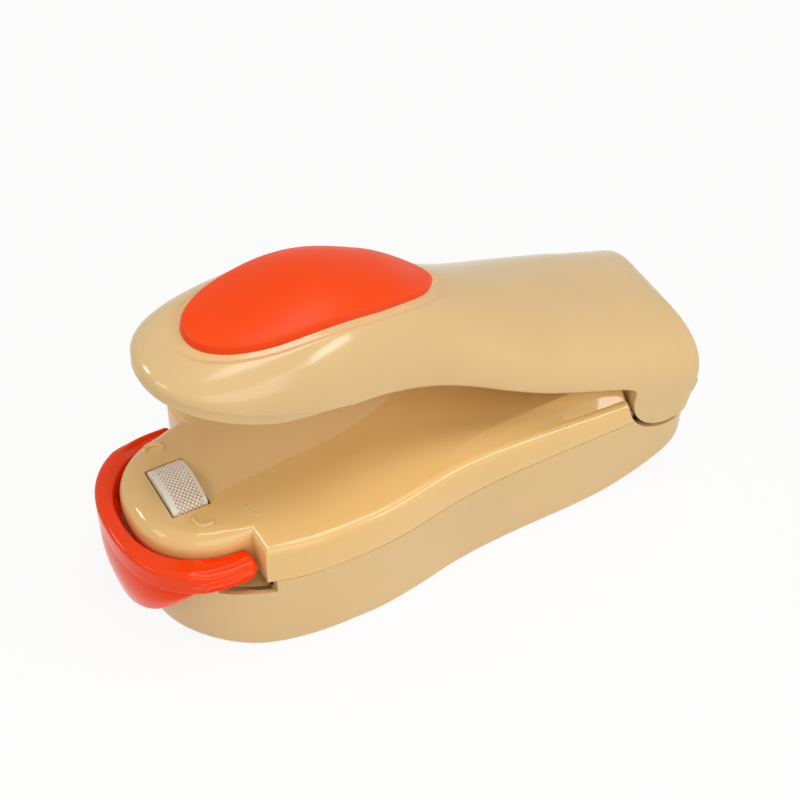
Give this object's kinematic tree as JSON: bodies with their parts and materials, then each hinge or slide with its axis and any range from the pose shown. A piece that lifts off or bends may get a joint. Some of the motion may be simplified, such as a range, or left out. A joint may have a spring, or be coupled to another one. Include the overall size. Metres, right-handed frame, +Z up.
{
  "type": "mini bag sealer",
  "caption": "Hand-held heat sealer: battery base with a cloth-covered heater at its nose, a sprung press arm with an oval thumb pad, and a rocking safety lock around the nose.",
  "frame": {"origin": "centre of the overall box, on the resting plane under the base", "axes": "+Z up, -Y to the nose with the heater and the lock, +Y to the hinge, X across; the arm is open at rest"},
  "size_m": [0.0418, 0.104, 0.059],
  "materials": {
    "cream_plastic": "glossy moulded",
    "orange_plastic": "glossy moulded",
    "cell_jacket": "printed jacket, left plain",
    "sheet_steel": "nickel plated",
    "spring_steel": "drawn wire",
    "screw_steel": "zinc plated",
    "heater_moulding": "heat resistant moulding",
    "heater_foil": "resistance foil",
    "heater_cloth": "coated glass cloth",
    "contact_brass": "stamped",
    "wire_sleeve": "insulated lead",
    "silicone": "silicone"
  },
  "bodies": {
    "base": {"base_lower_case": "cream_plastic", "base_deck": "cream_plastic", "aa_cells": "cell_jacket", "link_plate": "sheet_steel", "terminal_plates": "sheet_steel", "battery_springs": "spring_steel", "case_screws": "screw_steel", "lock_pins": "screw_steel", "heater_springs": "spring_steel", "switch_leaf": "contact_brass", "switch_anvil": "contact_brass", "switch_screw": "screw_steel", "lead_wires": "wire_sleeve", "hinge_pin": "screw_steel", "return_spring": "spring_steel"},
    "arm": {"arm_shell": "cream_plastic", "arm_liner": "cream_plastic", "pressure_pad": "silicone", "thumb_pad": "orange_plastic", "arm_screws": "screw_steel"},
    "heater": {"heater_block": "heater_moulding", "heater_ribbon": "heater_foil", "heater_cover": "heater_cloth"},
    "lock": {"safety_lock": "orange_plastic"},
    "door": {"battery_door": "cream_plastic"}
  },
  "joints": [
    {"name": "arm_hinge", "type": "hinge", "parent": "base", "child": "arm", "pos_m": [0, 0.0446, 0.0202], "axis": [1, 0, 0], "range_deg": [0, 15.5], "stiffness_Nm_per_rad": 0.12, "springref_deg": -14.32, "deforming": ["return_spring"]},
    {"name": "heater_press", "type": "slide", "parent": "base", "child": "heater", "axis": [0, 0, -1], "range_m": [0, 0.0012], "stiffness_N_per_m": 800, "springref_m": -0.001, "deforming": ["heater_springs"]},
    {"name": "lock_rock", "type": "hinge", "parent": "base", "child": "lock", "pos_m": [0, -0.038, 0.01805], "axis": [-1, 0, 0], "range_deg": [0, 12]},
    {"name": "door_lift", "type": "slide", "parent": "base", "child": "door", "axis": [0, 0, -1], "range_m": [0, 0.01]}
  ]
}
